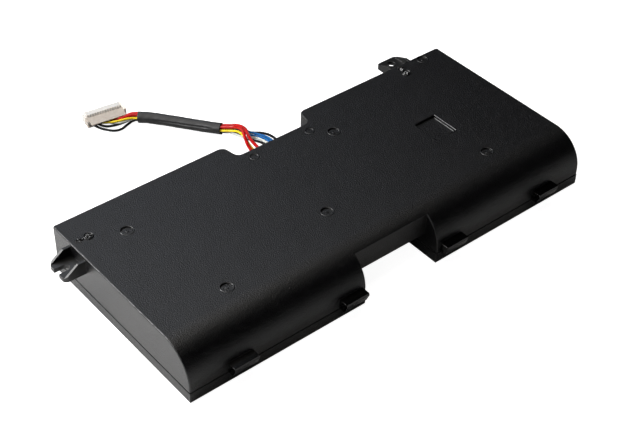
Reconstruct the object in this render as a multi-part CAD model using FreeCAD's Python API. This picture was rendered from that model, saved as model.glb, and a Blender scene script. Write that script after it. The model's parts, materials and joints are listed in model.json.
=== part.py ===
"""Internal laptop battery pack: eight round cells in a black moulded case, with a flying lead and plug.

All sizes are in millimetres. The pack is laid out from the corner of its case: x runs along the
long side from the left end wall, y runs across from the rounded long side to the lead's side, and
z runs up from the underside. place() then moves every piece so that the origin is under the middle
of the case with its ears and lugs, at the level of the surface the pack lies on.
"""

import FreeCAD
import Part
import math
import os

Vec = FreeCAD.Vector

# case
wall = 1.6
nose_radius = 14.0
parting_height = 5.0
edge_round = 0.5
foot_round = 0.8
corner_round = 1.0
shadow_gap = 0.3
tongue_height = 1.6
tongue_wall = 0.7
tongue_clearance = 0.05

# the middle between the two cell blocks, its notches and its channel
middle_width = 35.6
front_notch_depth = 7.0
rear_notch_depth = 8.1
rear_notch_flare = 1.4
notch_outer_round = 3.0
notch_inner_round = 2.5
channel_height = 10.4

# lugs on the rounded side
lug_length = 10.7
lug_pitch = 50.0
lug_count = 4
lug_top = 9.6
lug_reach = 4.1
lug_top_reach = 3.8
lug_lip = 0.9
lug_foot_reach = 2.6

# screw ears
ear_width = 11.2
ear_web = 1.1
ear_drop = 1.4
ear_tip_round = 2.0
ear_plate = 1.8
slot_ear_from_rear = 16.75
slot_ear_reach = 9.0
slot_ear_plate_drop = 5.4
slot_ear_flat = 3.0
slot_width = 3.2
slot_end = 3.6
hole_ear_from_right = 19.9
hole_ear_reach = 10.6
hole_ear_plate_drop = 4.0
hole_ear_flat = 3.4
hole_radius = 1.7
hole_reach = 7.0

# marks in the roof
dimple_radius = 2.3
dimple_depth = 0.5
dimple_pip_radius = 0.55
dimple_pip_height = 0.3
gate_mark_radius = 1.6
gate_mark_depth = 0.15
recess_from_right = 46.0
recess_near = 36.5
recess_size = (10.8, 12.8)
recess_depth = 0.9

# cells
cell_radius = 9.2
cell_length = 65.0
cell_spacing = 0.3
cells_per_block = 4
side_gap = 0.35
height_gap = 0.2
nose_gap = 0.42
far_room = 6.2
cell_cap_radius = 3.0
cell_cap_height = 0.6
cell_groove_depth = 0.5
cell_groove_width = 1.4
cell_groove_place = 3.4
tape = 0.18
tape_width = 12.0
tape_over = 2.0
tape_gap = 0.4
rib_clearance = 0.15
rib_height = 3.4
rib_width = 5.0
rib_end = 2.0
ring_margin = 0.6
ring_hole_radius = 4.2
ring_thickness = 0.25
stop_thickness = 1.2
stop_height = 6.0
stop_width = 9.0

# strips and cards
strip = 0.2
strip_height = 8.0
strip_margin = 5.0
strip_slit = 0.6
slit_margin = 2.0
lead_width = 4.0
lead_roof_gap = 1.78
lead_step = 5.0
foot_length = 6.0
tab_width = 3.0
tab_over = 1.0
sense_drop = 4.5
sense_in = 3.3
card = 0.4
card_height = 16.0
card_gap = 0.1
card_inset = 3.2

# protection board in the middle
board_thickness = 1.0
board_side_gap = 2.2
board_near = 14.0
board_far_gap = 0.7
board_boss_height = 1.6
board_boss_radius = 1.8
board_pin_radius = 0.75
board_hole_radius = 0.85
board_hole_inset = 3.2
part_gap = 0.02
chip_column = 6.0
resistor_size = (1.6, 0.8, 0.8)
resistor_count = 6
resistor_pitch = 3.2
resistor_row = 50.4

# flying lead
red_wire = 1.3
black_wire = 1.1
thin_wire = 1.0
sense_wire = 0.9
exit_low = (-9.5, 13.8)
exit_high = (7.1, 17.0)
sleeve_radius = 2.42
sleeve_bore = 2.2

# plug
plug_centre = (-30.9, 75.9)
plug_turn = -8.3
plug_length = 16.0
plug_front = -3.0
plug_face = -0.3
plug_step_start = 3.2
plug_back = 5.8
plug_height = 3.1
plug_hood = 0.4
plug_step_height = 1.0
plug_rib = 0.9
plug_axis = 1.1
contact_pitch = 1.8
contact_count = 8
cavity_width = 1.2
cavity_height = 1.3
contact_width = 0.9
contact_height = 0.9
contact_length = 4.6
latch_width = 0.7
latch_length = 0.7

# for the modelling itself
past = 1.0
touch = 0.01
bend_share = 0.45

# what follows from the sizes above
cell_pitch = 2 * cell_radius + cell_spacing
ring_radius = cell_radius - ring_margin
case_height = 2 * (cell_radius + height_gap + wall)
centre_height = case_height / 2
nose_spring = case_height - nose_radius
cell_over_spring = centre_height + cell_radius - nose_spring
cell_near_end = nose_radius - math.sqrt((nose_radius - wall) ** 2 - cell_over_spring ** 2) + nose_gap
cell_far_end = cell_near_end + cell_length
block_width = cells_per_block * cell_pitch + 2 * (side_gap + wall)
block_right = block_width + middle_width
case_length = block_right + block_width
case_width = cell_far_end + far_room + wall
rear_notch_y = case_width - rear_notch_depth
roof_inside = case_height - wall
middle_x = (block_width + block_right) / 2
bridge_top = channel_height + wall
board_bottom = bridge_top + board_boss_height
board_top = board_bottom + board_thickness
board_left = block_width + board_side_gap
board_right = block_right - board_side_gap
board_far = rear_notch_y - wall - board_far_gap
tape_near = (cell_near_end + cell_far_end - tape_width) / 2
tape_far = tape_near + tape_width
origin_x = (case_length - slot_ear_reach) / 2
origin_y = (case_width + hole_ear_reach - lug_reach) / 2
ear_top = case_height - ear_drop
slot_ear_plate_top = case_height - slot_ear_plate_drop
hole_ear_plate_top = case_height - hole_ear_plate_drop
slot_ear_centre = case_width - slot_ear_from_rear
hole_ear_centre = case_length - hole_ear_from_right
sense_height = case_height - sense_drop

# marks in the roof, set out from the case's edges or from its middle line
dimple_centres = [
    (20.1, 66.2),
    (30.7, 19.7),
    (middle_x - 12.1, 29.5),
    (middle_x + 21.9, 65.9),
    (case_length - 35.3, 18.7),
    (case_length - 11.1, case_width - 2.9),
]
gate_mark_centres = [
    (middle_x - 13.2, rear_notch_y - 4.5),
    (middle_x + 14.4, rear_notch_y - 4.8),
]

# chips on the board: the place of each one's middle, then its length, width and height
chips = {
    "gauge_chip": ((middle_x - chip_column, 58.0), (5.0, 5.0, 0.9)),
    "charge_switch": ((middle_x + chip_column, 30.0), (5.0, 6.0, 1.1)),
    "discharge_switch": ((middle_x + chip_column, 40.0), (5.0, 6.0, 1.1)),
    "thermal_fuse": ((middle_x - chip_column, 30.0), (6.0, 4.0, 1.5)),
    "sense_resistor": ((middle_x - chip_column, 40.0), (6.4, 3.2, 0.8)),
    "thermistor": ((board_left + 2.0, 46.0), (1.6, 3.2, 1.0)),
}


def place(shape):
    """Move a piece from the case corner to the part's own origin."""
    return shape.translated(Vec(-origin_x, -origin_y, 0))


def save(name, shape):
    place(shape).exportStep("parts/" + name + ".step")


def box(low, high):
    size = [b - a for a, b in zip(low, high)]
    return Part.makeBox(size[0], size[1], size[2], Vec(*low))


def upright(radius, height, centre, base):
    """A cylinder that stands at centre, from the height base up."""
    return Part.makeCylinder(radius, height, Vec(centre[0], centre[1], base), Vec(0, 0, 1))


def polygon_face(points):
    return Part.Face(Part.makePolygon([Vec(*p) for p in points] + [Vec(*points[0])]))


def join(shapes):
    whole = shapes[0]
    if len(shapes) > 1:
        whole = shapes[0].multiFuse(shapes[1:])
    return whole.removeSplitter()


def rounded_outline(corners):
    """A closed flat wire through (x, y, radius) corners, each rounded by its radius."""
    edges = []
    count = len(corners)
    starts = []
    ends = []
    middles = []
    for i in range(count):
        x, y, radius = corners[i]
        here = Vec(x, y, 0)
        before = Vec(corners[i - 1][0], corners[i - 1][1], 0)
        after = Vec(corners[(i + 1) % count][0], corners[(i + 1) % count][1], 0)
        back = (before - here).normalize()
        ahead = (after - here).normalize()
        half = back.getAngle(ahead) / 2
        cut = radius / math.tan(half)
        starts.append(here + back * cut)
        ends.append(here + ahead * cut)
        inward = (back + ahead).normalize()
        middles.append(here + inward * (radius / math.sin(half) - radius))
    for i in range(count):
        if corners[i][2] > 0:
            edges.append(Part.Arc(starts[i], middles[i], ends[i]).toShape())
        edges.append(Part.LineSegment(ends[i], starts[(i + 1) % count]).toShape())
    return Part.Wire(edges)


def prism(outline, low, high):
    face = Part.Face(outline)
    face.translate(Vec(0, 0, low))
    return face.extrude(Vec(0, 0, high - low))


def inset(outline, distance):
    return outline.makeOffset2D(-distance)


def case_outline():
    """The pack seen from above, with the front notch and the flared rear notch."""
    return rounded_outline([
        (0, 0, 0),
        (block_width, 0, 0),
        (block_width, front_notch_depth, 0),
        (block_right, front_notch_depth, 0),
        (block_right, 0, 0),
        (case_length, 0, 0),
        (case_length, case_width, corner_round),
        (block_right + rear_notch_flare, case_width, notch_outer_round),
        (block_right, rear_notch_y, notch_inner_round),
        (block_width, rear_notch_y, notch_inner_round),
        (block_width - rear_notch_flare, case_width, notch_outer_round),
        (0, case_width, corner_round),
    ])


def block_outline(side):
    """One cell block seen from above: side is 0 for the left block and 1 for the right one."""
    if side == 0:
        return rounded_outline([
            (0, 0, 0),
            (block_width, 0, 0),
            (block_width, rear_notch_y, 0),
            (block_width - rear_notch_flare, case_width, notch_outer_round),
            (0, case_width, corner_round),
        ])
    return rounded_outline([
        (block_right, 0, 0),
        (case_length, 0, 0),
        (case_length, case_width, corner_round),
        (block_right + rear_notch_flare, case_width, notch_outer_round),
        (block_right, rear_notch_y, 0),
    ])


def nose_section(offset):
    """The side view of the case, offset inwards, from below the parting line to the roof."""
    radius = nose_radius - offset
    top = case_height - offset
    low = -past
    turn = math.sqrt(0.5) * radius
    corners = [
        Vec(0, offset, low),
        Vec(0, offset, nose_spring),
        Vec(0, nose_radius, top),
        Vec(0, case_width - offset, top),
        Vec(0, case_width - offset, low),
    ]
    arc_middle = Vec(0, nose_radius - turn, nose_spring + turn)
    return Part.Face(Part.Wire([
        Part.LineSegment(corners[0], corners[1]).toShape(),
        Part.Arc(corners[1], arc_middle, corners[2]).toShape(),
        Part.LineSegment(corners[2], corners[3]).toShape(),
        Part.LineSegment(corners[3], corners[4]).toShape(),
        Part.LineSegment(corners[4], corners[0]).toShape(),
    ]))


def nose_solid(offset, low_x, high_x):
    body = nose_section(offset).extrude(Vec(high_x - low_x, 0, 0))
    return body.translated(Vec(low_x, 0, 0))


def is_roof_edge(edge):
    """True for the outer edges that the mould softens: round the roof and down the nose's ends."""
    points = [edge.valueAt(edge.FirstParameter), edge.valueAt(edge.LastParameter)]
    middle = edge.valueAt((edge.FirstParameter + edge.LastParameter) / 2)
    lowest = min(p.z for p in points)
    along_x = abs(points[0].x - points[1].x) > corner_round
    smooth_seam = along_x and abs(middle.y - nose_radius) < touch
    on_roof = middle.z > case_height - touch
    on_nose_end = (not along_x) and lowest > nose_spring - touch and middle.y < nose_radius
    notch_brow = along_x and abs(middle.y - front_notch_depth) < touch and middle.z > nose_spring
    upright_edge = math.hypot(points[0].x - points[1].x, points[0].y - points[1].y) < touch
    return (on_roof or on_nose_end or notch_brow) and not smooth_seam and not upright_edge


def case_hull():
    """The outside of the upper shell as one solid block, softened at its edges."""
    hull = prism(case_outline(), parting_height, case_height)
    hull = hull.common(nose_solid(0, 0, case_length))
    soft = [edge for edge in hull.Edges if is_roof_edge(edge)]
    hull = hull.makeFillet(edge_round, soft)
    return hull.cut(box((block_width, 0, 0), (block_right, case_width, channel_height)))


def case_hollow():
    """The room inside the two shells above the parting line."""
    far = case_width - wall
    left = box((wall, wall, 0), (block_width - wall, far, case_height))
    right = box((block_right + wall, wall, 0), (case_length - wall, far, case_height))
    near = front_notch_depth + wall
    middle = box((block_width - wall, near, 0), (block_right + wall, rear_notch_y - wall, case_height))
    room = join([left, middle, right])
    room = room.common(nose_solid(wall, 0, case_length))
    slope_cut = prism(inset(case_outline(), wall), 0, case_height)
    return room.common(slope_cut)


def cell_places():
    """The x of each cell's axis, four in each block."""
    row = (cells_per_block - 1) * cell_pitch
    places = []
    for centre in (block_width / 2, block_right + (case_length - block_right) / 2):
        for i in range(cells_per_block):
            places.append(centre - row / 2 + i * cell_pitch)
    return places


def cradle_rib(x, low, high):
    """Two ribs along y between two cells, hollowed to the cells, with a gap for the tape."""
    left = x - rib_width / 2
    right = x + rib_width / 2
    near = box((left, cell_near_end + rib_end, low), (right, tape_near - tape_gap, high))
    far = box((left, tape_far + tape_gap, low), (right, cell_far_end - rib_end, high))
    ribs = near.fuse(far)
    for side in (-1, 1):
        start = Vec(x + side * cell_pitch / 2, 0, centre_height)
        ribs = ribs.cut(Part.makeCylinder(cell_radius + rib_clearance, case_width, start, Vec(0, 1, 0)))
    return ribs


def cradle_ribs(low, high):
    places = cell_places()
    ribs = []
    for i in range(len(places) - 1):
        if places[i + 1] - places[i] < cell_pitch + 1:
            ribs.append(cradle_rib((places[i] + places[i + 1]) / 2, low, high))
    return ribs


def lug(centre):
    """One moulded lug: flat top, small upright lip, front face raked back to the parting line."""
    foot = parting_height + shadow_gap
    section = polygon_face([
        (0, wall / 2, lug_top),
        (0, -lug_top_reach, lug_top),
        (0, -lug_reach, lug_top - lug_lip),
        (0, -lug_foot_reach, foot),
        (0, wall / 2, foot),
    ])
    return section.extrude(Vec(lug_length, 0, 0)).translated(Vec(centre - lug_length / 2, 0, 0))


def ear(reach, plate_top, flat):
    """A screw ear that reaches along +x from the plane x = 0, centred on y = 0.

    A floor plate with rounded tips carries two upright webs, which are flat on top near the wall
    and then slope down to the plate.
    """
    half = ear_width / 2
    plate_low = plate_top - ear_plate
    root = -wall / 2
    plan = rounded_outline([
        (root, -half, 0),
        (reach, -half, ear_tip_round),
        (reach, half, ear_tip_round),
        (root, half, 0),
    ])
    plate = prism(plan, plate_low, plate_top)
    webs = []
    for side in (-half, half - ear_web):
        section = polygon_face([
            (root, side, plate_low),
            (root, side, ear_top),
            (flat, side, ear_top),
            (reach - ear_tip_round / 4, side, plate_top),
            (reach - ear_tip_round, side, plate_low),
        ])
        webs.append(section.extrude(Vec(0, ear_web, 0)))
    return join([plate] + webs).common(prism(plan, plate_low, ear_top))


def slot_ear():
    """The left ear, open to its tip for a screw."""
    body = ear(slot_ear_reach, slot_ear_plate_top, slot_ear_flat)
    inner = slot_end + slot_width / 2
    low = slot_ear_plate_top - ear_plate
    high = slot_ear_plate_top + past
    slot = box((inner, -slot_width / 2, low - past), (slot_ear_reach + past, slot_width / 2, high))
    slot = slot.fuse(upright(slot_width / 2, ear_plate + 2 * past, (inner, 0), low - past))
    body = body.cut(slot)
    body.rotate(Vec(0, 0, 0), Vec(0, 0, 1), 180)
    return body.translated(Vec(0, slot_ear_centre, 0))


def hole_ear():
    """The rear ear, with a closed round screw hole."""
    body = ear(hole_ear_reach, hole_ear_plate_top, hole_ear_flat)
    body = body.cut(upright(hole_radius, case_height, (hole_reach, 0), 0))
    body.rotate(Vec(0, 0, 0), Vec(0, 0, 1), 90)
    return body.translated(Vec(hole_ear_centre, case_width, 0))


def roof_marks():
    """What is sunk into the roof: ejector dimples with a pip, gate marks and one square recess."""
    sunk = []
    for centre in dimple_centres:
        cup = upright(dimple_radius, dimple_depth + past, centre, case_height - dimple_depth)
        pip = upright(dimple_pip_radius, dimple_pip_height, centre, case_height - dimple_depth)
        sunk.append(cup.cut(pip))
    for centre in gate_mark_centres:
        sunk.append(upright(gate_mark_radius, past, centre, case_height - gate_mark_depth))
    low = (case_length - recess_from_right, recess_near, case_height - recess_depth)
    high = (low[0] + recess_size[0], low[1] + recess_size[1], case_height + past)
    sunk.append(box(low, high))
    return sunk


def seam_band(outline, outside, inside, low, high):
    """The band between two insets of an outline, used for the shadow line, tongue and rebate."""
    outer = inset(outline, outside) if outside > 0 else outline
    return prism(outer, low, high).cut(prism(inset(outline, inside), low - past, high + past))


def seam_keep():
    """Where the shells' walls meet at the parting line: everywhere but beside the channel."""
    near = front_notch_depth + wall
    far = rear_notch_y - wall
    return box((block_width - 2 * wall, near, 0), (block_right + 2 * wall, far, case_height))


def upper_shell():
    shell = case_hull().cut(case_hollow())
    for side in (0, 1):
        outline = block_outline(side)
        shadow = prism(outline, parting_height - past, parting_height + shadow_gap)
        shadow = shadow.cut(prism(inset(outline, shadow_gap), 0, case_height))
        rebate_top = parting_height + tongue_height + tongue_clearance
        rebate_out = wall - tongue_wall - tongue_clearance
        rebate = seam_band(outline, rebate_out, wall + past, parting_height - past, rebate_top)
        shell = shell.cut(shadow).cut(rebate.cut(seam_keep()))
    shell = shell.multiFuse(cradle_ribs(roof_inside - rib_height + wall, roof_inside))
    middle = case_length / 2
    first = middle - (lug_count - 1) * lug_pitch / 2
    lugs = [lug(first + i * lug_pitch) for i in range(lug_count)]
    shell = join([shell] + lugs + [slot_ear(), hole_ear()])
    window_low = (middle_x + exit_low[0], rear_notch_y - 2 * wall, exit_low[1])
    window = box(window_low, (middle_x + exit_high[0], case_width, exit_high[1]))
    return shell.cut(Part.makeCompound(roof_marks() + [window])).removeSplitter()


def tray(side):
    """One half of the underside: a shallow tray with its tongue."""
    outline = block_outline(side)
    body = prism(outline, 0, parting_height)
    rim = [edge for edge in body.Edges if edge.BoundBox.ZMax < touch]
    body = body.makeFillet(foot_round, rim)
    body = body.cut(prism(inset(outline, wall), wall, case_height))
    tongue = seam_band(outline, wall - tongue_wall, wall, parting_height, parting_height + tongue_height)
    return body.fuse(tongue.cut(seam_keep()))


def board_boss_places():
    places = []
    for x in (board_left + board_hole_inset, board_right - board_hole_inset):
        for y in (board_near + board_hole_inset, board_far - board_hole_inset):
            places.append((x, y))
    return places


def end_stops():
    """Low cross walls in each block that hold the cells lengthwise, one short piece to a cell."""
    stops = []
    near = cell_near_end - strip - 2 * card_gap - card - strip - stop_thickness
    far = cell_far_end + strip + 2 * card_gap + card
    half = stop_width / 2
    for x in cell_places():
        for y in (near, far):
            stops.append(box((x - half, y, wall), (x + half, y + stop_thickness, stop_height)))
    return stops


def lower_shell():
    near = front_notch_depth + wall
    far = rear_notch_y - wall
    pieces = [tray(0), tray(1)]
    pieces.append(box((block_width - wall, near, wall), (block_width, far, bridge_top)))
    pieces.append(box((block_right, near, wall), (block_right + wall, far, bridge_top)))
    pieces.append(box((block_width, near, channel_height), (block_right, far, bridge_top)))
    pieces.extend(cradle_ribs(wall, wall + rib_height))
    pieces.extend(end_stops())
    pin_height = board_boss_height + 2 * board_thickness
    for place_xy in board_boss_places():
        pieces.append(upright(board_boss_radius, board_boss_height, place_xy, bridge_top))
        pieces.append(upright(board_pin_radius, pin_height, place_xy, bridge_top))
    return join(pieces)


def cap_is_near(index):
    """The pairs of cells stand head to tail, so that flat strips join them in series."""
    return (index // 2) % 2 == 0


def cell(index):
    """One round cell: can, crimp groove and raised cap, turned as one profile."""
    shoulder = cell_length - cell_cap_height
    groove = shoulder - cell_groove_place
    waist = cell_radius - cell_groove_depth
    half = cell_groove_width / 2
    profile = polygon_face([
        (0, 0, 0),
        (cell_radius, 0, 0),
        (cell_radius, groove - half, 0),
        (waist, groove - half / 2, 0),
        (waist, groove + half / 2, 0),
        (cell_radius, groove + half, 0),
        (cell_radius, shoulder, 0),
        (cell_cap_radius, shoulder, 0),
        (cell_cap_radius, cell_length, 0),
        (0, cell_length, 0),
    ])
    body = profile.revolve(Vec(0, 0, 0), Vec(0, 1, 0), 360)
    if cap_is_near(index):
        body.rotate(Vec(0, cell_length / 2, 0), Vec(0, 0, 1), 180)
    return body.translated(Vec(cell_places()[index], cell_near_end, centre_height))


def insulator_ring(index):
    """The paper ring on a cell's shoulder, round its cap."""
    x = cell_places()[index]
    start = cell_far_end - cell_cap_height
    if cap_is_near(index):
        start = cell_near_end + cell_cap_height - ring_thickness
    centre = Vec(x, start, centre_height)
    ring = Part.makeCylinder(ring_radius, ring_thickness, centre, Vec(0, 1, 0))
    return ring.cut(Part.makeCylinder(ring_hole_radius, ring_thickness, centre, Vec(0, 1, 0)))


def strip_plate(first, last, y):
    """A flat nickel strip across the ends of the cells first to last, with a weld slit at each."""
    places = cell_places()
    low = centre_height - strip_height / 2
    left = places[first] - strip_margin
    right = places[last] + strip_margin
    plate = box((left, y, low), (right, y + strip, low + strip_height))
    for x in places[first:last + 1]:
        start = (x - strip_slit / 2, y, low + slit_margin)
        end = (x + strip_slit / 2, y + strip, low + strip_height - slit_margin)
        plate = plate.cut(box(start, end))
    return plate


def near_strip_y():
    return cell_near_end - strip


def lead_y():
    """The leads run in front of the cards that cover the strips."""
    return near_strip_y() - 2 * card_gap - card - strip


def pole_strip(first, last, side):
    """The strip of an end pair, with its lead along the nose and a foot on the board."""
    y = near_strip_y()
    plate = strip_plate(first, last, y)
    places = cell_places()
    low = board_top + part_gap
    top = roof_inside - lead_roof_gap
    if side == 0:
        turn = places[last] + strip_margin
        foot_out = board_left + lead_step
        foot_in = foot_out + lead_width
        run = box((turn - strip, lead_y(), low), (foot_in, lead_y() + strip, top))
        jog = box((turn - strip, lead_y(), low), (turn, y + strip, top))
        arm = box((turn - strip - lead_width, y, centre_height), (turn, y + strip, top))
    else:
        turn = places[first] - strip_margin
        foot_in = board_right - lead_step
        foot_out = foot_in - lead_width
        run = box((foot_out, lead_y(), low), (turn + strip, lead_y() + strip, top))
        jog = box((turn, lead_y(), low), (turn + strip, y + strip, top))
        arm = box((turn, y, centre_height), (turn + strip + lead_width, y + strip, top))
    foot = box((foot_out, lead_y(), low), (foot_in, board_near + foot_length, low + strip))
    return join([plate, arm, jog, run, foot])


def link_strip():
    """The strip that joins the two middle pairs past the front of the board."""
    y = near_strip_y()
    left = strip_plate(2, 3, y)
    right = strip_plate(4, 5, y)
    low = bridge_top + card_gap * 2
    top = board_top - 2 * card_gap
    places = cell_places()
    bar = box((places[3], y, low), (places[4], y + strip, top))
    return join([left, right, bar])


def far_strip(side):
    """The strip across all four cells of a block, with a tab for the sense wire."""
    first = side * cells_per_block
    y = cell_far_end
    plate = strip_plate(first, first + cells_per_block - 1, y)
    x = sense_x(side)
    low = centre_height
    half = tab_width / 2
    tab = box((x - half, y, low), (x + half, y + strip, sense_height + tab_over))
    reach = sorted([x, cell_places()[3 + side]])
    arm = box((reach[0], y, low), (reach[1], y + strip, low + strip_height / 2))
    return join([plate, arm, tab])


def sense_x(side):
    """The sense wires run in the corner between the inner cell and the roof."""
    return block_width - sense_in if side == 0 else block_right + sense_in


def near_card(side):
    """The card between the link strip and the lead that passes in front of it."""
    places = cell_places()
    y = near_strip_y() - card_gap - card
    low = centre_height - card_height / 2
    if side == 0:
        left = places[2] - cell_radius + card_inset
        right = places[3] + cell_radius
    else:
        left = places[4] - cell_radius
        right = places[5] + cell_radius - card_inset
    return box((left, y, low), (right, y + card, low + card_height))


def far_card(side):
    """The card between the far strip and the end stops."""
    places = cell_places()
    y = cell_far_end + strip + card_gap
    low = centre_height - card_height / 2
    first = side * cells_per_block
    left = places[first] - cell_radius + card_inset
    right = places[first + cells_per_block - 1] + cell_radius - card_inset
    return box((left, y, low), (right, y + card, low + card_height))


def cell_tape(side):
    """The double-sided tape that holds a block's cells to its floor, between the cradle ribs."""
    places = cell_places()
    first = side * cells_per_block
    left = places[first] - tape_over
    right = places[first + cells_per_block - 1] + tape_over
    return box((left, tape_near, wall), (right, tape_far, wall + tape))


def protection_board():
    """The circuit board, on four bosses, with its small soldered parts."""
    board = box((board_left, board_near, board_bottom), (board_right, board_far, board_top))
    for centre in board_boss_places():
        board = board.cut(upright(board_hole_radius, case_height, centre, 0))
    first = middle_x - (resistor_count - 1) * resistor_pitch / 2
    row = [(first + i * resistor_pitch, resistor_row) for i in range(resistor_count)]
    return join([board] + [board_chip(centre, resistor_size) for centre in row])


def board_chip(centre, size):
    """A chip that stands on the board."""
    low = (centre[0] - size[0] / 2, centre[1] - size[1] / 2, board_top)
    return box(low, [a + b for a, b in zip(low, size)])


def tube(points, radius):
    """A round wire through hand-chosen points: straight runs joined by tangent arcs.

    Each arc starts and ends at the same share of the shorter run beside it, so it is as large as
    the two runs allow.
    """
    path = [Vec(*p) for p in points]
    edges = []
    bends = []
    length = 0.0
    here = path[0]
    for i in range(1, len(path) - 1):
        back = path[i - 1] - path[i]
        ahead = path[i + 1] - path[i]
        short = min(back.Length, ahead.Length)
        cut = bend_share * short
        turn = math.pi - back.getAngle(ahead)
        bend = cut / math.tan(turn / 2)
        bends.append(bend)
        start = path[i] + back.normalize() * cut
        end = path[i] + ahead.normalize() * cut
        toward = (path[i - 1] - path[i]).normalize() + (path[i + 1] - path[i]).normalize()
        middle = path[i] + toward.normalize() * (bend / math.cos(turn / 2) - bend)
        edges.append(Part.LineSegment(here, start).toShape())
        edges.append(Part.Arc(start, middle, end).toShape())
        length += (start - here).Length + bend * turn
        here = end
    edges.append(Part.LineSegment(here, path[-1]).toShape())
    length += (path[-1] - here).Length
    first = (path[1] - path[0]).normalize()
    ring = Part.Wire([Part.makeCircle(radius, path[0], first)])
    return Part.Wire(edges).makePipeShell([ring], True, False, 1), length, min(bends)


# All points of the lead are set out from its exit, in the middle of the rear notch, and from the floor.
# The bundle's middle line: the bend before the sleeve, then the sleeve from end to end.
bundle_bend = (5.3, 31.3, 5.8)
sleeve_points = [
    (1.3, 36.9, 4.4),
    (-5.3, 47.7, 3.3),
    (-12.1, 58.1, 2.75),
    (-19.7, 68.1, 2.45),
]
across_sleeve = (0.83, 0.56)


def in_bundle(across, up):
    """The bundle's points moved to one wire's place in its cross-section."""
    return [
        (x + across * across_sleeve[0], y + across * across_sleeve[1], z + up)
        for x, y, z in [bundle_bend] + sleeve_points
    ]


# Each wire: diameter, points from the board to the bundle, place in the bundle, points to the plug.
wires = {
    "red_wire_1": (
        red_wire,
        [(-4.1, -3.9, 15.3), (-3.6, 2.9, 15.5), (-1.9, 9.7, 14.7), (0.8, 16.6, 12.7), (4.4, 23.7, 9.9)],
        (0.7, 1.18),
        [(-21.6, 71.0, 2.7), (-24.4, 72.2, 1.7), (-26.55, 74.4, 1.1)],
    ),
    "red_wire_2": (
        red_wire,
        [(-7.7, -3.9, 15.3), (-7.4, 2.6, 15.5), (-5.5, 9.6, 14.8), (-1.6, 16.9, 12.3), (2.7, 24.1, 9.8)],
        (-0.7, 1.18),
        [(-23.3, 69.6, 3.5), (-27.3, 71.5, 2.3), (-29.7, 74.8, 1.1)],
    ),
    "yellow_wire": (
        thin_wire,
        [(-6.0, -3.9, 15.3), (-5.6, 2.7, 15.1), (-3.6, 9.3, 13.6), (-0.3, 16.7, 10.9), (2.3, 24.1, 8.2)],
        (-1.5, 0.0),
        [(-24.5, 68.8, 2.5), (-29.1, 69.3, 2.0), (-32.6, 72.0, 1.75), (-33.55, 75.4, 0.95)],
    ),
    "white_wire": (
        thin_wire,
        [(-1.3, -3.9, 15.3), (-0.5, 3.1, 15.4), (1.7, 10.1, 14.0), (3.2, 17.1, 11.2), (3.7, 24.3, 8.3)],
        (-0.47, -0.04),
        [(-23.7, 69.55, 1.85), (-27.9, 70.25, 1.6), (-30.8, 72.7, 1.1), (-31.75, 75.15, 0.95)],
    ),
    "blue_wire_1": (
        thin_wire,
        [(2.1, -3.9, 15.3), (3.0, 3.0, 15.4), (4.7, 9.9, 13.8), (5.5, 16.9, 10.9), (5.0, 24.0, 8.2)],
        (0.55, -0.04),
        [(-22.5, 70.35, 1.8), (-26.0, 71.7, 0.85), (-28.15, 74.55, 0.95)],
    ),
    "blue_wire_2": (
        thin_wire,
        [(3.7, -3.9, 15.3), (4.5, 3.2, 15.5), (6.0, 10.1, 14.0), (6.9, 17.1, 11.1), (6.4, 24.1, 8.5)],
        (1.62, -0.03),
        [(-20.9, 71.8, 1.9), (-23.3, 73.0, 1.1), (-24.6, 74.1, 0.95)],
    ),
    "black_wire_1": (
        black_wire,
        [(0.4, -3.9, 15.3), (1.3, 3.3, 15.3), (3.1, 10.3, 13.0), (3.5, 17.3, 9.6), (3.4, 24.1, 6.8)],
        (-0.6, -1.15),
        [
            (-22.5, 69.1, 0.75),
            (-25.6, 68.3, 0.6),
            (-29.1, 67.0, 0.6),
            (-32.2, 67.6, 0.6),
            (-34.5, 70.3, 0.6),
            (-36.4, 73.3, 0.6),
            (-37.15, 75.9, 0.9),
        ],
    ),
    "black_wire_2": (
        black_wire,
        [(5.3, -3.9, 15.3), (6.1, 3.0, 15.6), (7.5, 10.1, 14.6), (8.3, 17.4, 11.0), (7.5, 24.3, 7.3)],
        (0.65, -1.15),
        [
            (-21.7, 70.25, 0.7),
            (-26.0, 69.7, 0.6),
            (-30.5, 70.3, 0.6),
            (-34.5, 72.4, 0.6),
            (-35.35, 75.65, 0.9),
        ],
    ),
}

def from_exit(points):
    """The lead's points moved from its exit to the case corner's frame."""
    return [(middle_x + x, rear_notch_y + y, z) for x, y, z in points]


def sense_route(side):
    """From a far strip's tab into the middle and down to the board, mirrored for the right."""
    points = [
        (-sense_in, cell_far_end - 0.05, sense_height),
        (-sense_in + 0.1, cell_far_end - 7.7, sense_height - 0.1),
        (0.7, cell_far_end - 12.7, sense_height - 0.9),
        (5.4, cell_far_end - 13.6, board_top + 0.52),
    ]
    if side == 0:
        return [(block_width + x, y, z) for x, y, z in points]
    return [(block_right - x, y, z) for x, y, z in points]


def sleeve():
    """The shrunk tube round the wires."""
    outer = tube(from_exit(sleeve_points), sleeve_radius)[0]
    bore = tube(from_exit(sleeve_points), sleeve_bore)[0]
    return outer.cut(bore)


def plug_place(shape):
    """Turn a piece drawn along the plug's own axes and lay it where the plug lies."""
    shape.rotate(Vec(0, 0, 0), Vec(0, 0, 1), plug_turn)
    return shape.translated(Vec(middle_x + plug_centre[0], rear_notch_y + plug_centre[1], 0))


def contact_places():
    half = (contact_count - 1) * contact_pitch / 2
    return [half - i * contact_pitch for i in range(contact_count)]


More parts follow.
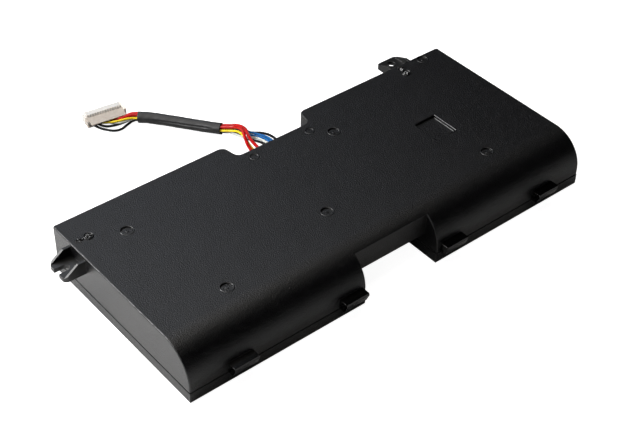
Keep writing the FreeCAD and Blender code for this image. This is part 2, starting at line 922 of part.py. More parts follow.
def plug_housing():
    """The plug's housing: a body with a cavity for each contact, a hood over the wires and end ribs."""
    half = plug_length / 2
    crest = plug_height + plug_step_height
    housing = join([
        box((-half, plug_face, 0), (half, plug_back, plug_height)),
        box((-half, plug_front, plug_height - plug_hood), (half, plug_face, plug_height)),
        box((-half, plug_step_start, plug_height), (half, plug_back, crest)),
        box((half, plug_face, 0), (half + plug_rib, plug_back, crest)),
        box((-half - plug_rib, plug_face, 0), (-half, plug_back, plug_height)),
    ])
    low = plug_axis - cavity_height / 2
    for u in contact_places():
        left = u - cavity_width / 2
        right = left + cavity_width
        top = low + cavity_height
        housing = housing.cut(box((left, plug_face - past, low), (right, plug_back + past, top)))
        latch = u - latch_width / 2
        housing = housing.cut(box(
            (latch, plug_step_start - latch_length, plug_axis),
            (latch + latch_width, plug_step_start, crest),
        ))
    return plug_place(housing)


def contact(u):
    """One crimped contact on the floor of its cavity."""
    low = plug_axis - cavity_height / 2
    left = u - contact_width / 2
    size = (contact_width, contact_length, contact_height)
    return plug_place(Part.makeBox(*size, Vec(left, plug_face, low)))


def build():
    os.makedirs("parts", exist_ok=True)
    save("upper_shell", upper_shell())
    save("lower_shell", lower_shell())
    for i in range(2 * cells_per_block):
        save("cell_%d" % (i + 1), cell(i))
        save("insulator_ring_%d" % (i + 1), insulator_ring(i))
    save("positive_strip", pole_strip(0, 1, 0))
    save("negative_strip", pole_strip(6, 7, 1))
    save("link_strip", link_strip())
    for side, name in enumerate(("left", "right")):
        save("far_strip_" + name, far_strip(side))
        save("near_card_" + name, near_card(side))
        save("far_card_" + name, far_card(side))
        save("cell_tape_" + name, cell_tape(side))
        solid, length, bend = tube(sense_route(side), sense_wire / 2)
        save("sense_wire_" + name, solid)
        print("sense_wire_" + name, "length %.1f least radius %.1f" % (length, bend))
    save("protection_board", protection_board())
    for name, (centre, size) in chips.items():
        save(name, board_chip(centre, size))
    for name, (diameter, start, spot, end) in wires.items():
        solid, length, bend = tube(from_exit(start + in_bundle(*spot) + end), diameter / 2)
        ratio = solid.Volume / (math.pi * diameter ** 2 / 4 * length)
        print(name, "length %.1f least radius %.2f volume ratio %.4f" % (length, bend, ratio))
        save(name, solid)
    save("shrink_sleeve", sleeve())
    save("plug_housing", plug_housing())
    for i, u in enumerate(contact_places()):
        save("contact_%d" % (i + 1), contact(u))


build()
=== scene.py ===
"""Laptop battery pack: a black moulded case with a sleeved lead of eight wires and an ivory plug.

Routes, marks and sizes are named in millimetres and every mesh is made in metres. The camera, the
lights and the table are named in metres. The lead's points are set out from its exit, in the
middle of the rear notch, at the level of the floor.
"""

import json
import math

import bpy
import numpy as np
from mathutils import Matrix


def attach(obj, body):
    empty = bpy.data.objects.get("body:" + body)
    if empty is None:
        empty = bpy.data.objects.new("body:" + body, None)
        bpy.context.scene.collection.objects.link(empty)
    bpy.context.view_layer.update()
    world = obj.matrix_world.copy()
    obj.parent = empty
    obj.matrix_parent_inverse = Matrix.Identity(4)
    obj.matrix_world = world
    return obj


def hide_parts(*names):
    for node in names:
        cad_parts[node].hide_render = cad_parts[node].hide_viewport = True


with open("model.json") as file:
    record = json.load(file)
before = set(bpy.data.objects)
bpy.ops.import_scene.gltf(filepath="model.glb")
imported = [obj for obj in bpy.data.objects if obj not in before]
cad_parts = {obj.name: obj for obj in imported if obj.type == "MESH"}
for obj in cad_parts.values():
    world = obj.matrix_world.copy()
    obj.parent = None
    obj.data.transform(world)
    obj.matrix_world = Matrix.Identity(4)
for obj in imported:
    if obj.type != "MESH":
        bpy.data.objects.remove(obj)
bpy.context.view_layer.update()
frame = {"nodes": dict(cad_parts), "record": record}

MM = 0.001

# the photograph's view
camera_place = (-0.2612, -0.3051, 0.3464)
camera_turn = (49.515, -1.405, -39.700)
camera_lens = 76.02
sensor_width = 36.0

# where the lead leaves the case, in millimetres
lead_exit = (4.5, 31.15)

# the lead's bundle
bundle_bend = (5.3, 31.3, 5.8)
sleeve_points = [
    (1.3, 36.9, 4.4),
    (-5.3, 47.7, 3.3),
    (-12.1, 58.1, 2.75),
    (-19.7, 68.1, 2.45),
]
across_sleeve = (0.83, 0.56)
before_bundle = (3.9, 24.1, 8.3)
after_bundle = (-23.2, 70.2, 1.7)
sleeve_radius = 2.42
sleeve_wall = 0.22
sleeve_lowest = 0.02

# the sleeve's flats and crease: depths as shares of its radius, then the crease's angle, turn and
# width in radians
flats_depth = 0.04
crease_depth = 0.2
crease_angle = 2.7
crease_turn = 0.2
crease_width = 0.14

# Each wire: its colour's slot, diameter, length, points from the board to the sleeve, its place in
# the sleeve as (across, up), and the points on to the plug.
wires = {
    "red_wire_1": (
        "red_insulation",
        1.4,
        92.8,
        [
            (-4.1, -3.9, 15.3),
            (-3.6, 2.9, 15.5),
            (-2.6, 9.7, 14.9),
            (-0.1, 16.7, 13.4),
            (4.2, 23.9, 10.9),
            (5.88, 31.69, 7.6),
        ],
        (0.7, 1.18),
        [(-21.9, 70.9, 3.2), (-24.6, 72.0, 1.95), (-26.55, 74.4, 1.1)],
    ),
    "red_wire_2": (
        "red_insulation",
        1.4,
        95.3,
        [
            (-7.7, -3.9, 15.3),
            (-7.4, 2.6, 15.5),
            (-5.5, 9.6, 14.8),
            (-1.6, 16.9, 13.0),
            (2.7, 24.1, 10.8),
            (4.72, 30.91, 7.6),
        ],
        (-0.7, 1.18),
        [(-23.3, 69.9, 3.5), (-27.3, 71.7, 2.1), (-29.7, 74.8, 1.1)],
    ),
    "yellow_wire": (
        "yellow_insulation",
        1.0,
        98.0,
        [
            (-6.0, -3.9, 15.3),
            (-5.6, 2.7, 15.1),
            (-3.9, 9.4, 13.4),
            (-0.8, 16.9, 11.3),
            (2.2, 24.1, 9.2),
            (4.06, 30.46, 6.1),
        ],
        (-1.5, 0.0),
        [(-24.0, 69.5, 2.6), (-28.4, 70.9, 2.1), (-32.0, 73.2, 1.6), (-33.55, 75.4, 0.95)],
    ),
    "white_wire": (
        "white_insulation",
        1.0,
        96.1,
        [
            (1.3, -3.9, 15.3),
            (1.6, 3.1, 15.3),
            (3.0, 10.1, 13.6),
            (3.9, 17.1, 10.6),
            (2.6, 23.6, 7.2),
            (3.97, 30.4, 4.2),
        ],
        (-0.47, -0.04),
        [(-23.7, 69.2, 1.6), (-27.9, 70.1, 1.4), (-30.8, 72.7, 1.1), (-31.75, 75.15, 0.95)],
    ),
    "blue_wire_1": (
        "blue_insulation",
        1.0,
        93.0,
        [
            (2.4, -3.9, 15.3),
            (2.8, 3.0, 15.4),
            (4.2, 9.9, 13.9),
            (5.0, 16.9, 10.6),
            (5.0, 24.0, 7.6),
            (5.76, 31.61, 5.76),
        ],
        (0.55, -0.04),
        [(-22.5, 70.35, 1.8), (-26.0, 71.7, 0.85), (-28.15, 74.55, 0.95)],
    ),
    "blue_wire_2": (
        "blue_insulation",
        1.0,
        90.7,
        [
            (3.5, -3.9, 15.3),
            (4.0, 3.2, 15.5),
            (5.4, 10.1, 14.0),
            (6.3, 17.1, 10.9),
            (6.2, 24.1, 8.0),
            (6.64, 32.21, 5.77),
        ],
        (1.62, -0.03),
        [(-20.9, 71.8, 1.9), (-23.3, 73.0, 1.1), (-24.6, 74.1, 0.95)],
    ),
    "black_wire_1": (
        "black_insulation",
        1.1,
        103.8,
        [
            (0.2, -3.9, 15.3),
            (0.5, 3.2, 15.2),
            (2.2, 10.2, 12.8),
            (3.2, 17.2, 9.4),
            (3.6, 24.1, 6.0),
            (4.8, 30.96, 4.65),
        ],
        (-0.6, -1.15),
        [
            (-22.5, 69.1, 0.75),
            (-25.6, 68.3, 0.6),
            (-29.1, 67.0, 0.6),
            (-32.2, 67.6, 0.6),
            (-34.5, 70.3, 0.6),
            (-36.4, 73.3, 0.6),
            (-37.15, 75.9, 0.9),
        ],
    ),
    "black_wire_2": (
        "black_insulation",
        1.1,
        102.3,
        [
            (5.2, -3.9, 15.3),
            (5.6, 3.0, 15.6),
            (6.8, 10.1, 14.4),
            (7.6, 17.4, 11.2),
            (7.4, 24.4, 7.0),
            (5.84, 31.66, 4.65),
        ],
        (0.65, -1.15),
        [
            (-22.0, 70.2, 1.0),
            (-26.3, 70.2, 0.8),
            (-30.8, 71.1, 0.65),
            (-34.3, 73.0, 0.6),
            (-35.35, 75.65, 0.9),
        ],
    ),
}

# the plug: its centre and turn, half its length, its raised row's start and the run over which
# the painted light on the row fades in, and the half width and pitch of the painted glow on its
# front wall
plug_centre = (-30.9, 75.9)
plug_turn = -8.3
plug_half = 8.0
plug_row_start = 3.2
plug_row_slope = 0.3
plug_glow_half = 0.12
plug_glow_pitch = 1.15

# the wires in the order of the plug's contacts, from the left
contact_order = [
    "black_wire_1",
    "black_wire_2",
    "yellow_wire",
    "white_wire",
    "red_wire_2",
    "blue_wire_1",
    "red_wire_1",
    "blue_wire_2",
]

# the case's sides and roof, and the seam's height and the half width of the band round it that is painted
# black as shade
case_left = -92.0
case_front = -45.75
case_rear = 39.25
case_top = 22.0
seam_height = 5.15
seam_half = 0.4

# how the case's skin is drawn: its grain, and its edges' rounding at two heights
grain_size = 0.4
grain_depth = 0.18
cloud_size = 30.0
skin_margin = 0.05
edge_heights = (8.0, 12.0)
edge_radii = (0.08, 0.28)

# how far each skin blurs what it reflects
roof_blur = (0.29, 0.34)
ears_blur = 0.44
lugs_blur = 0.16

# the raised signs by the ears: for each its place, the arrow's heading and the way to the arrow
mark_height = 0.36
mark_width = 0.66
sign_ring_radius = 1.75
cross_reach = 1.0
cross_half = 0.3
arrow_length = 2.8
arrow_head = 1.2
arrow_half = 0.35
signs = {
    "left": ((-84.6, 26.4), 180.0, (-3.9, 0.0)),
    "rear": ((77.4, 32.9), 90.0, (0.0, 3.6)),
}

# the dimples, gate marks and recess of the roof, and the rims round them
dimple_radius = 2.3
dimple_places = [
    (-71.9, 20.45),
    (-61.3, -26.05),
    (-7.6, -16.25),
    (26.4, 20.15),
    (65.7, -27.05),
    (89.9, 36.35),
]
gate_radius = 1.6
gate_places = [(-8.7, 26.65), (18.9, 26.35)]
recess_low = (55.0, -9.25)
recess_high = (65.8, 3.55)
recess_depth = 0.9
rim_width = 0.5
rim_height = 0.14
rim_gap = 0.2
foot_gap = 0.25
recess_rim_heights = [-0.04, 0.18, 0.18, -0.04]
below_floor = 0.05

# the table: half its side, where its painted light at the left turns to painted shade, and how
# brightly the camera sees it
table_half = 3.0
painted_shade_turn = (-0.095, -0.088)
table_glow = 0.95

# the light panels: place, aim, size, watts and tint
panels = {
    "overhead_panel": ((-0.1, 0.4, 1.5), (-0.1, 0.35, 0.0), 1.2, 12.0, "#fffaf2"),
    "left_panel": ((-0.64, 0.5, 0.55), (-0.12, 0.03, 0.0), 0.45, 16.0, "#ffffff"),
    "front_left_panel": ((-1.3, -0.6, 0.9), (0.0, 0.0, 0.0), 0.8, 4.5, "#ffffff"),
    "rear_panel": ((0.22, 1.05, 1.2), (-0.05, 0.0, 0.0), 0.6, 4.2, "#dfe8f8"),
}


def linear(code):
    """An sRGB hex code as linear RGBA: c/12.92 up to 0.04045, and ((c + 0.055)/1.055)^2.4 above."""
    values = np.array([int(code[i:i + 2], 16) for i in (1, 3, 5)]) / 255
    curve = ((values + 0.055) / 1.055) ** 2.4
    return (*np.where(values <= 0.04045, values / 12.92, curve).tolist(), 1.0)


def add(tree, kind, inputs=None, **settings):
    """Add one node; inputs gives each socket its value, or the output that feeds it."""
    node = tree.nodes.new(kind)
    for name, value in settings.items():
        setattr(node, name, value)
    for name, value in (inputs or {}).items():
        if isinstance(value, bpy.types.NodeSocket):
            tree.links.new(value, node.inputs[name])
        else:
            node.inputs[name].default_value = value
    return node


def blank(name):
    """A new material with its tree, shader and the place in the object's own coordinates."""
    material = bpy.data.materials.new(name)
    material.use_nodes = True
    tree = material.node_tree
    place = add(tree, "ShaderNodeTexCoord").outputs["Object"]
    return material, tree, tree.nodes["Principled BSDF"], place


def ramp(tree, value, dark, light, low=0.3, high=0.7):
    """A colour between two hex codes, as value goes from low to high."""
    node = add(tree, "ShaderNodeValToRGB", {"Fac": value})
    node.color_ramp.elements[0].position = low
    node.color_ramp.elements[0].color = linear(dark)
    node.color_ramp.elements[1].position = high
    node.color_ramp.elements[1].color = linear(light)
    return node.outputs["Color"]


def noise(tree, place, size, detail=2.0):
    """Noise with lumps of about that size in millimetres."""
    node = add(tree, "ShaderNodeTexNoise", {"Vector": place, "Scale": 1 / (size * MM), "Detail": detail})
    return node.outputs["Fac"]


def figure(tree, operation, *values):
    """The result of one Math node; each value is a number or the output that feeds it."""
    return add(tree, "ShaderNodeMath", dict(enumerate(values)), operation=operation).outputs[0]


def spread(tree, value, start, end, low, high):
    """A value's run from start to end, spread over low to high and held between them."""
    node = add(tree, "ShaderNodeMapRange", {
        "Value": value,
        "From Min": start,
        "From Max": end,
        "To Min": low,
        "To Max": high,
    })
    return node.outputs["Result"]


def blend(tree, factor, plain, other, **settings):
    """The plain value where the factor is 0 and the other where it is 1."""
    node = add(tree, "ShaderNodeMix", {"Factor": factor, "A": plain, "B": other}, **settings)
    return node.outputs["Result"]


def rounded(tree, radius, samples):
    """The normal with edges that look rounded by that radius."""
    return add(tree, "ShaderNodeBevel", {"Radius": radius}, samples=samples).outputs["Normal"]


def dent(tree, shader, height, strength, depth=0.05, **normal):
    """Dent the shader's normal by a height of that depth in millimetres."""
    inputs = {"Height": height, "Strength": strength, "Distance": depth * MM}
    bump = add(tree, "ShaderNodeBump", inputs | normal)
    tree.links.new(bump.outputs["Normal"], shader.inputs["Normal"])


def moulded_abs(name, shine):
    """Black ABS: sparked grain on the broad faces, a smoother skin on the ears and lugs.

    The sparked tool leaves pits that scatter the light, so the roof looks dull with a fine
    sparkle. The ears come from a smoother insert and the lugs from a polished one, so the lugs
    are black with a glint on their edges. A band round the seam is painted black and fully
    rough: painted shade for the shadow line in the seam's groove. Shine is how much the skin
    reflects: the tray is given less, a dimmer copy of the same black that stands for the shade
    near the table.
    """
    material, tree, shader, place = blank(name)
    # The real grain is about 0.05 mm and is drawn coarser, so that it shows at this size.
    grain = noise(tree, place, grain_size, 1.0)
    axes = add(tree, "ShaderNodeSeparateXYZ", {"Vector": place}).outputs
    left_ear = figure(tree, "LESS_THAN", axes["X"], (case_left - skin_margin) * MM)
    rear_ear = figure(tree, "GREATER_THAN", axes["Y"], (case_rear + skin_margin) * MM)
    lugs = figure(tree, "LESS_THAN", axes["Y"], (case_front - skin_margin) * MM)
    ears = figure(tree, "MAXIMUM", left_ear, rear_ear)
    smooth = figure(tree, "MAXIMUM", ears, lugs)
    # Painted shade: the band round the seam is made black and fully rough, as its groove's shadow line.
    seam = figure(tree, "COMPARE", axes["Z"], seam_height * MM, seam_half * MM)
    plain = figure(tree, "MAXIMUM", smooth, seam)
    speck = ramp(tree, grain, "#010102", "#0e0e10", 0.46, 0.7)
    colour = blend(tree, plain, speck, linear("#010101"), data_type="RGBA")
    tree.links.new(colour, shader.inputs["Base Color"])
    blur = spread(tree, noise(tree, place, cloud_size), 0.0, 1.0, *roof_blur)
    blur = blend(tree, ears, blur, ears_blur)
    blur = blend(tree, lugs, blur, lugs_blur)
    blur = blend(tree, seam, blur, 1.0)
    tree.links.new(blur, shader.inputs["Roughness"])
    pits = figure(tree, "MAXIMUM", figure(tree, "SUBTRACT", grain, smooth), 0.0)
    # The roof's edges are rounder than the seam's, whose shadow line stays crisp.
    limits = [value * MM for value in edge_heights + edge_radii]
    normal = rounded(tree, spread(tree, axes["Z"], *limits), 8)
    dent(tree, shader, pits, 1.0, grain_depth, Normal=normal)
    shader.inputs["Specular IOR Level"].default_value = shine
    return material


def moulded(name, dark, light, roughness, grain_mm, strength):
    """A moulded or coated plastic: two close shades in a fine noise, with a faint bump."""
    material, tree, shader, place = blank(name)
    grain = noise(tree, place, grain_mm, 3.0)
    tree.links.new(ramp(tree, grain, dark, light), shader.inputs["Base Color"])
    dent(tree, shader, grain, strength, Normal=rounded(tree, 0.12 * MM, 4))
    shader.inputs["Roughness"].default_value = roughness
    return material


def polished_abs():
    """Black ABS from bare steel: smoother than the roof, so its edges give thin bright lines."""
    return moulded("black_abs_polished", "#030303", "#070708", 0.3, 0.6, 0.02)


def wire_pvc(name, dark, light):
    """PVC insulation: extruded, so it is smooth and softly glossy, with faint lumps."""
    material, tree, shader, place = blank(name)
    tree.links.new(ramp(tree, noise(tree, place, 2.5), dark, light), shader.inputs["Base Color"])
    dent(tree, shader, noise(tree, place, 0.4), 0.08)
    shader.inputs["Roughness"].default_value = 0.32
    shader.inputs["Specular IOR Level"].default_value = 0.25
    return material


def shrunk_polyolefin():
    """Heat-shrink tube: satin and dark grey, mottled where it is stretched over the wires."""
    material, tree, shader, place = blank("grey_shrink_polyolefin")
    cloud = noise(tree, place, 1.6, 3.0)
    tree.links.new(ramp(tree, cloud, "#101011", "#1b1b1c"), shader.inputs["Base Color"])
    dent(tree, shader, noise(tree, place, 0.3), 0.15)
    shader.inputs["Roughness"].default_value = 0.46
    shader.inputs["Specular IOR Level"].default_value = 0.34
    return material


def ivory_nylon():
    """Ivory nylon: waxy and slightly see-through, with painted light on the raised row and bare end.

    The plug's own axes are read by turning the place back by the plug's turn about its centre.
    """
    material, tree, shader, place = blank("ivory_nylon")
    centre = ((lead_exit[0] + plug_centre[0]) * MM, (lead_exit[1] + plug_centre[1]) * MM, 0.0)
    own = add(tree, "ShaderNodeMapping", {
        "Vector": place,
        "Location": centre,
        "Rotation": (0.0, 0.0, math.radians(plug_turn)),
    }, vector_type="TEXTURE")
    axes = add(tree, "ShaderNodeSeparateXYZ", {"Vector": own.outputs["Vector"]}).outputs
    cloud = noise(tree, place, 1.5)
    row_start = plug_row_start * MM
    # Painted light: the raised row's top is painted a lighter ivory than the body, and the end wall past
    # half the length lighter still, to lift its shade.
    row = spread(tree, axes["Y"], row_start - plug_row_slope * MM, row_start, 0.0, 1.0)
    end = figure(tree, "GREATER_THAN", axes["X"], plug_half * MM)
    colour = ramp(tree, cloud, "#9b9289", "#a69e95")
    colour = blend(tree, row, colour, linear("#bcbab7"), data_type="RGBA")
    colour = blend(tree, end, colour, linear("#ddd5ca"), data_type="RGBA")
    tree.links.new(colour, shader.inputs["Base Color"])
    # The row's thin front wall glows in spots along its length: painted light that lifts its shade.
    front = figure(tree, "COMPARE", axes["Y"], row_start, plug_glow_half * MM)
    turns = figure(tree, "MULTIPLY", axes["X"], 2 * math.pi / (plug_glow_pitch * MM))
    glow_spots = spread(tree, figure(tree, "SINE", turns), -1.0, 1.0, 0.1, 0.4)
    tree.links.new(figure(tree, "MULTIPLY", front, glow_spots), shader.inputs["Emission Strength"])
    shader.inputs["Emission Color"].default_value = linear("#f4ece2")
    dent(tree, shader, cloud, 0.08, Normal=rounded(tree, 0.15 * MM, 4))
    shader.inputs["Roughness"].default_value = 0.45
    shader.inputs["Subsurface Weight"].default_value = 0.35
    shader.inputs["Subsurface Radius"].default_value = (1.0, 0.9, 0.8)
    shader.inputs["Subsurface Scale"].default_value = 1.2 * MM
    return material


def rolled_metal(name, light):
    """Nickel or tinned strip: rolled, so it is bright with fine streaks along its length."""
    material, tree, shader, place = blank(name)
    along = add(tree, "ShaderNodeMapping", {"Vector": place, "Scale": (1.0, 20.0, 20.0)})
    streak = noise(tree, along.outputs["Vector"], 4.0, 3.0)
    tree.links.new(ramp(tree, streak, "#a8a49a", light), shader.inputs["Base Color"])
    blur = spread(tree, streak, 0.0, 1.0, 0.22, 0.38)
    tree.links.new(blur, shader.inputs["Roughness"])
    shader.inputs["Metallic"].default_value = 1.0
    return material


def solder_mask():
    """Glass-epoxy board under green solder mask: glossy, with copper showing lighter beneath."""
    material, tree, shader, place = blank("green_solder_mask")
    tracks = add(tree, "ShaderNodeTexBrick", {
        "Vector": place,
        "Scale": 1 / (4 * MM),
        "Mortar Size": 0.06,
        "Color1": linear("#0f4a24"),
        "Color2": linear("#12552b"),
        "Mortar": linear("#0a3519"),
    })
    tree.links.new(tracks.outputs["Color"], shader.inputs["Base Color"])
    shader.inputs["Roughness"].default_value = 0.25
    return material


def make_materials():
    """One material for each slot of the record."""
    return {
        "upper_case": moulded_abs("black_abs_sparked", 0.47),
        # The tray is a dimmer copy of the same black: painted shade for the dark near the table.
        "lower_case": moulded_abs("black_abs_dimmed_for_shade", 0.44),
        # shrunk film: smooth, so the cells shine in long streaks
        "cell_wrap": moulded("blue_pvc_film", "#1d4f74", "#245d88", 0.28, 3.0, 0.05),
        # pressed paper: quite dull, with fine fibres
        "insulating_paper": moulded("pressed_fish_paper", "#bdb6a2", "#d8d2c0", 0.85, 0.4, 0.3),
        "nickel": rolled_metal("rolled_nickel", "#cfcabd"),
        # foam: dull and pitted
        "foam_tape": moulded("grey_foam_tape", "#8d8d88", "#a9a9a4", 0.9, 0.3, 0.5),
        "circuit_board": solder_mask(),
        # cast epoxy: satin and nearly black
        "chip_body": moulded("black_chip_epoxy", "#161616", "#242424", 0.5, 0.15, 0.2),
        "red_insulation": wire_pvc("red_pvc", "#860100", "#ac0201"),
        "yellow_insulation": wire_pvc("yellow_pvc", "#d0ac14", "#e6c926"),
        "white_insulation": wire_pvc("white_pvc", "#a9aca6", "#c6c9c4"),
        "blue_insulation": wire_pvc("blue_pvc", "#0a4479", "#135a96"),
        "black_insulation": wire_pvc("black_pvc", "#060607", "#101113"),
        "shrink_tube": shrunk_polyolefin(),
        "plug_plastic": ivory_nylon(),
        "tinned_contact": rolled_metal("tinned_brass", "#d8d5cc"),
    }


def route(points):
    """Points from the lead's exit, in millimetres, as places in the frame, in metres."""
    return [((lead_exit[0] + x) * MM, (lead_exit[1] + y) * MM, z * MM) for x, y, z in points]


def in_bundle(across, up):
    """The sleeve's points moved to one wire's place in its cross-section."""
    return [
        (x + across * across_sleeve[0], y + across * across_sleeve[1], z + up)
        for x, y, z in sleeve_points
    ]


def nurbs(name, places, thickness):
    """A curve object of one NURBS spline of order 3 with those control points and a round section."""
    data = bpy.data.curves.new(name, "CURVE")
    data.dimensions = "3D"
    data.resolution_u = 10
    data.bevel_depth = thickness / 2
    data.bevel_resolution = 5
    data.use_fill_caps = thickness > 0
    spline = data.splines.new("NURBS")
    spline.points.add(len(places) - 1)
    for point, place in zip(spline.points, places):
        point.co = (*place, 1.0)
    spline.order_u = 3
    spline.use_endpoint_u = True
    return bpy.data.objects.new(name, data)


def finish_piece(piece, material):
    """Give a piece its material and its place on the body."""
    bpy.context.scene.collection.objects.link(piece)
    piece.data.materials.append(material)
    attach(piece, "root")


def grid_mesh(name, places, round_rows, round_columns):
    """A mesh of quads over a grid of places; rows or columns that go round are joined end to end."""
    rows, columns = places.shape[:2]
    index = np.arange(rows * columns).reshape(rows, columns)
    if round_rows:
        index = np.vstack([index, index[:1]])
    if round_columns:
        index = np.hstack([index, index[:, :1]])
    quads = np.stack([index[:-1, :-1], index[:-1, 1:], index[1:, 1:], index[1:, :-1]], axis=-1)
    mesh = bpy.data.meshes.new(name)
    mesh.from_pydata(places.reshape(-1, 3).tolist(), [], quads.reshape(-1, 4).tolist())
    mesh.shade_smooth()
    return mesh


def line_of(points):
    """Places read along the NURBS line of a route, as an array."""
    guide = nurbs("guide", route(points), 0.0)
    mesh = bpy.data.meshes.new_from_object(guide)
    places = np.empty(3 * len(mesh.vertices))
    mesh.vertices.foreach_get("co", places)
    return places.reshape(-1, 3)


def even_stretch(line, start, end, count):
    """Count places at even steps along the line, from the one nearest start to the one nearest end."""
    steps = np.linalg.norm(np.diff(line, axis=0), axis=1)
    along = np.concatenate([[0.0], np.cumsum(steps)])
    first = along[np.argmin(np.linalg.norm(line - np.array(start), axis=1))]
    last = along[np.argmin(np.linalg.norm(line - np.array(end), axis=1))]
    wanted = np.linspace(first, last, count)
    return np.stack([np.interp(wanted, along, line[:, k]) for k in range(3)], axis=1)


def make_sleeve(material):
    """The shrunk tube: a skin carried along the bundle's line, with a crease and ripples.

    The radius at angle t and share s of the length is the plain radius, less a share of cos 4t
    for the flats that the wires make, less a narrow crease that turns slowly and fades out at
    both ends, plus slow ripples along the length. The inner skin is the same surface one wall in,
    and the ends join the two.
    """
    line = line_of([before_bundle, bundle_bend] + sleeve_points + [after_bundle])
    ends = route([sleeve_points[0], sleeve_points[-1]])
    centre = even_stretch(line, ends[0], ends[1], 120)
    tangent = np.gradient(centre, axis=0)
    tangent /= np.linalg.norm(tangent, axis=1)[:, None]
    side = np.cross(tangent, [0.0, 0.0, 1.0])
    side /= np.linalg.norm(side, axis=1)[:, None]
    top = np.cross(side, tangent)
    t = np.linspace(0, 2 * math.pi, 72, endpoint=False)[None, :]
    s = np.linspace(0, 1, len(centre))[:, None]
    flats = -flats_depth * np.cos(4 * (t - 0.5))
    fade = np.clip(8 * s - 0.6, 0, 1) * np.clip(3.4 - 4 * s, 0, 1)
    from_crease = (t - crease_angle - crease_turn * s) / crease_width
    crease = -crease_depth * np.exp(-from_crease ** 2) * fade
    ripple = 0.012 * np.sin(23 * s + 2 * t) + 0.008 * np.sin(61 * s - 3 * t)
    radius = sleeve_radius * MM * (1 + flats + crease + ripple)
    outward = side[:, None] * np.cos(t)[..., None] + top[:, None] * np.sin(t)[..., None]
    outer = centre[:, None] + radius[..., None] * outward
    inner = centre[:, None] + (radius - sleeve_wall * MM)[..., None] * outward
    places = np.concatenate([outer, inner[::-1]])
    places[..., 2] = np.maximum(places[..., 2], sleeve_lowest * MM)
    piece = bpy.data.objects.new("lead_sleeve", grid_mesh("lead_sleeve", places, True, True))
    finish_piece(piece, material)
    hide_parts("shrink_sleeve")
    return piece


def make_wires(materials, sleeve):
    """Each wire is one NURBS cord from the board, through the sleeve, into the plug."""
    for name, (slot, thickness, length, start, spot, end) in wires.items():
        places = route(start + in_bundle(*spot) + end)
        cord = nurbs(name + "_cord", places, thickness * MM)
        finish_piece(cord, materials[slot])
        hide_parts(name)
        on_it = ["contact_%d" % (contact_order.index(name) + 1)]
        if name == "red_wire_1":
            on_it += [sleeve, "plug_housing"]


def ridge(name, outline, material, centre, width=mark_width, height=mark_height, floor=case_top):
    """A low raised line round a closed outline on a level floor.

    Its section is half a sine wave of that width and height, carried along the outline with the
    side direction square to it, and closed underneath by a flat strip. The height may be one
    number or one for each point; below zero the line runs under the floor.
    """
    path = np.array(outline, float)
    ahead = np.roll(path, -1, axis=0) - path
    behind = path - np.roll(path, 1, axis=0)
    ahead /= np.linalg.norm(ahead, axis=1)[:, None]
    behind /= np.linalg.norm(behind, axis=1)[:, None]
    tangent = ahead + behind
    tangent /= np.linalg.norm(tangent, axis=1)[:, None]
    stretch = 1 / np.maximum((tangent * ahead).sum(axis=1), 0.4)
    side = np.stack([-tangent[:, 1], tangent[:, 0]], axis=1) * stretch[:, None]
    u = np.linspace(0, 1, 9)
    offset = np.concatenate([(u - 0.5) * width, (0.5 - u[1:-1]) * width])
    heights = np.broadcast_to(height, len(path))
    rise = np.full((len(path), len(offset)), -below_floor)
    rise[:, 1:len(u) - 1] = heights[:, None] * np.sin(math.pi * u[1:-1])
    places = np.zeros((len(path), len(offset), 3))
    places[..., :2] = path[:, None] + side[:, None] * offset[None, :, None] + np.array(centre)
    places[..., 2] = floor + rise
    mesh = grid_mesh(name, places * MM, True, True)
    mesh.shade_flat()
    finish_piece(bpy.data.objects.new(name, mesh), material)


def circle_outline(radius, count=48):
    """Points round a circle: (r cos a, r sin a)."""
    angle = np.linspace(0, 2 * math.pi, count, endpoint=False)
    return np.stack([radius * np.cos(angle), radius * np.sin(angle)], axis=1)


def cross_outline(reach, half):
    """The twelve corners of a plus sign: one arm's three corners, turned by quarter turns."""
    arm = np.array([(half, half), (half, reach), (-half, reach)])
    quarter = np.array([[0.0, 1.0], [-1.0, 0.0]])
    arms = [arm]
    for _ in range(3):
        arms.append(arms[-1] @ quarter)
    return np.concatenate(arms)


def arrow_outline(length, head, half, heading):
    """The seven corners of an arrow that points that way, in degrees."""
    tip = length / 2
    neck = tip - head
    corners = np.array([
        (-tip, -half),
        (neck, -half),
        (neck, -head),
        (tip, 0.0),
        (neck, head),
        (neck, half),
        (-tip, half),
    ])
    angle = math.radians(heading)
    turn = np.array([[math.cos(angle), math.sin(angle)], [-math.sin(angle), math.cos(angle)]])
    return corners @ turn


def make_marks(material):
    """By each ear, a raised screw-head sign and an arrow to the ear."""
    for name, (centre, heading, away) in signs.items():
        cross = cross_outline(cross_reach, cross_half)
        arrow = arrow_outline(arrow_length, arrow_head, arrow_half, heading)
        arrow_place = (centre[0] + away[0], centre[1] + away[1])
        ridge("screw_sign_ring_" + name, circle_outline(sign_ring_radius), material, centre)
        ridge("screw_sign_cross_" + name, cross, material, centre)
        ridge("screw_sign_arrow_" + name, arrow, material, arrow_place)


def rectangle_outline(low, high, out):
    """The four corners of a rectangle grown by that much on each side."""
    return [
        (low[0] - out, low[1] - out),
        (high[0] + out, low[1] - out),
        (high[0] + out, high[1] + out),
        (low[0] - out, high[1] + out),
    ]


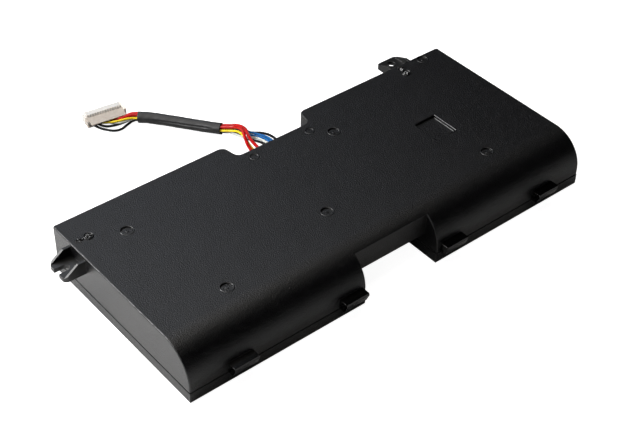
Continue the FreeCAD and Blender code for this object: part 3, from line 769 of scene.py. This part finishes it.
def make_rims(material):
    """The polished lips that the mould's pins leave round the dimples, gate marks and recess."""
    for i, centre in enumerate(dimple_places):
        circle = circle_outline(dimple_radius + rim_gap)
        ridge("dimple_rim_%d" % (i + 1), circle, material, centre, rim_width, rim_height)
    for i, centre in enumerate(gate_places):
        circle = circle_outline(gate_radius + rim_gap)
        ridge("gate_rim_%d" % (i + 1), circle, material, centre, rim_width, rim_height)
    origin = (0.0, 0.0)
    heights = recess_rim_heights
    rim = rectangle_outline(recess_low, recess_high, rim_gap)
    ridge("recess_rim", rim, material, origin, rim_width, heights)
    foot = rectangle_outline(recess_low, recess_high, -foot_gap)
    ridge("recess_foot", foot, material, origin, rim_width, heights, case_top - recess_depth)


def dress_nodes(materials):
    """Every node of the frame takes the material of its slot in the record."""
    for part in frame["record"]["subparts"]:
        node = frame["nodes"][part["node"]]
        node.data.materials.clear()
        node.data.materials.append(materials[part["material_slot"]])


def set_camera():
    data = bpy.data.cameras.new("photo_camera")
    data.sensor_fit = "HORIZONTAL"
    data.sensor_width = sensor_width
    data.lens = camera_lens
    data.clip_start = 0.01
    camera = bpy.data.objects.new("photo_camera", data)
    camera.location = camera_place
    camera.rotation_euler = [math.radians(angle) for angle in camera_turn]
    bpy.context.scene.collection.objects.link(camera)
    bpy.context.scene.camera = camera


def panel(name, place, aim, size, watts, tint):
    """A square light panel at place that faces aim."""
    data = bpy.data.lights.new(name, "AREA")
    data.shape = "SQUARE"
    data.size = size
    data.energy = watts
    data.color = linear(tint)[:3]
    lamp = bpy.data.objects.new(name, data)
    direction = np.array(aim, float) - np.array(place, float)
    flat = math.hypot(direction[0], direction[1])
    lamp.location = place
    tilt = math.atan2(flat, -direction[2])
    heading = math.atan2(-direction[0], direction[1])
    lamp.rotation_euler = (tilt, 0.0, heading)
    bpy.context.scene.collection.objects.link(lamp)


def set_stage():
    """A table top, white at the left and grey in front as painted light and shade, in a dim room with
    soft light panels.
    """
    world = bpy.data.worlds.new("room")
    world.use_nodes = True
    world.node_tree.nodes["Background"].inputs["Color"].default_value = linear("#0b0b0c")
    bpy.context.scene.world = world
    near = [(-table_half, -table_half, 0.0), (table_half, -table_half, 0.0)]
    far = [(-table_half, table_half, 0.0), (table_half, table_half, 0.0)]
    floor = bpy.data.objects.new("table_top", grid_mesh("table_top", np.array([near, far]), False, False))
    bpy.context.scene.collection.objects.link(floor)
    material, tree, shader, place = blank("table_painted_light_and_shade")
    axes = add(tree, "ShaderNodeSeparateXYZ", {"Vector": place}).outputs
    # Painted light and shade: the table is whiter at the left, where the case's left wall reflects it,
    # and greyer in front, where the nose reflects it.
    across = spread(tree, axes["X"], *painted_shade_turn, 0.0, 1.0)
    painted_light_and_shade = ramp(tree, across, "#f4f4f4", "#b0b0b0", 0.0, 1.0)
    tree.links.new(painted_light_and_shade, shader.inputs["Base Color"])
    shader.inputs["Roughness"].default_value = 0.9
    shader.inputs["Emission Color"].default_value = (1.0, 1.0, 1.0, 1.0)
    seen = add(tree, "ShaderNodeLightPath").outputs["Is Camera Ray"]
    tree.links.new(figure(tree, "MULTIPLY", seen, table_glow), shader.inputs["Emission Strength"])
    floor.data.materials.append(material)
    for name, (place, aim, size, watts, tint) in panels.items():
        panel(name, place, aim, size, watts, tint)
    bpy.context.scene.view_settings.view_transform = "Standard"


set_camera()
materials = make_materials()
sleeve = make_sleeve(materials["shrink_tube"])
make_wires(materials, sleeve)
bright_abs = polished_abs()
make_marks(bright_abs)
make_rims(bright_abs)
dress_nodes(materials)
set_stage()

bpy.context.view_layer.update()
